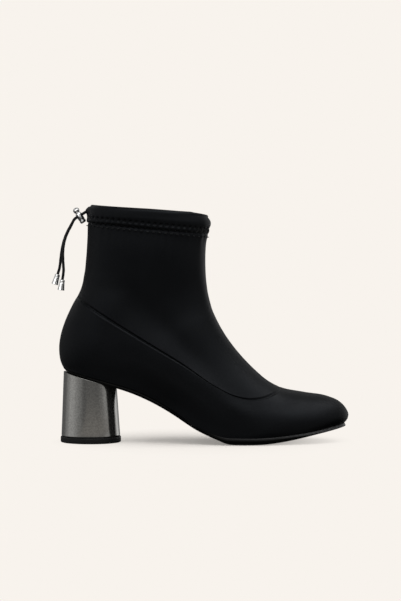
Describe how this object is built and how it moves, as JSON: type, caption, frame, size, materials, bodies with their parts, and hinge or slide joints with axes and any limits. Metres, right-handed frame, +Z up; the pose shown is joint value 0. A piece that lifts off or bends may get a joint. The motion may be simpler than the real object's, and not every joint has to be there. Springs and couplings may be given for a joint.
{
  "type": "stretch boot",
  "caption": "Black stretch-fabric ankle boot with a curved seam, hemmed collar with a drawcord and metal lock at the back, thin sole and round metallic block heel.",
  "frame": {"origin": "middle of the boot's length and width, on the floor that heel and sole stand on", "axes": "+X from heel to toe, +Z up, -Y towards the lateral side of the foot (a right boot)"},
  "size_m": [0.2523, 0.0786, 0.2009],
  "materials": {
    "stretch_fabric": "matte black stretch knit",
    "insole_lining": "dark lining cloth",
    "sole_rubber": "smooth black, semi-gloss edge",
    "heel_finish": "gunmetal coat, semi-gloss",
    "top_piece_rubber": "matte black",
    "cord_braid": "round black braid",
    "polished_metal": "polished"
  },
  "bodies": {
    "root": {"upper": "stretch_fabric", "insole": "insole_lining", "outsole": "sole_rubber", "heel_block": "heel_finish", "heel_top_piece": "top_piece_rubber", "cord_tail_near": "cord_braid", "cord_tail_far": "cord_braid", "cord_lock": "polished_metal", "cord_end_near": "polished_metal", "cord_end_far": "polished_metal"}
  },
  "joints": []
}
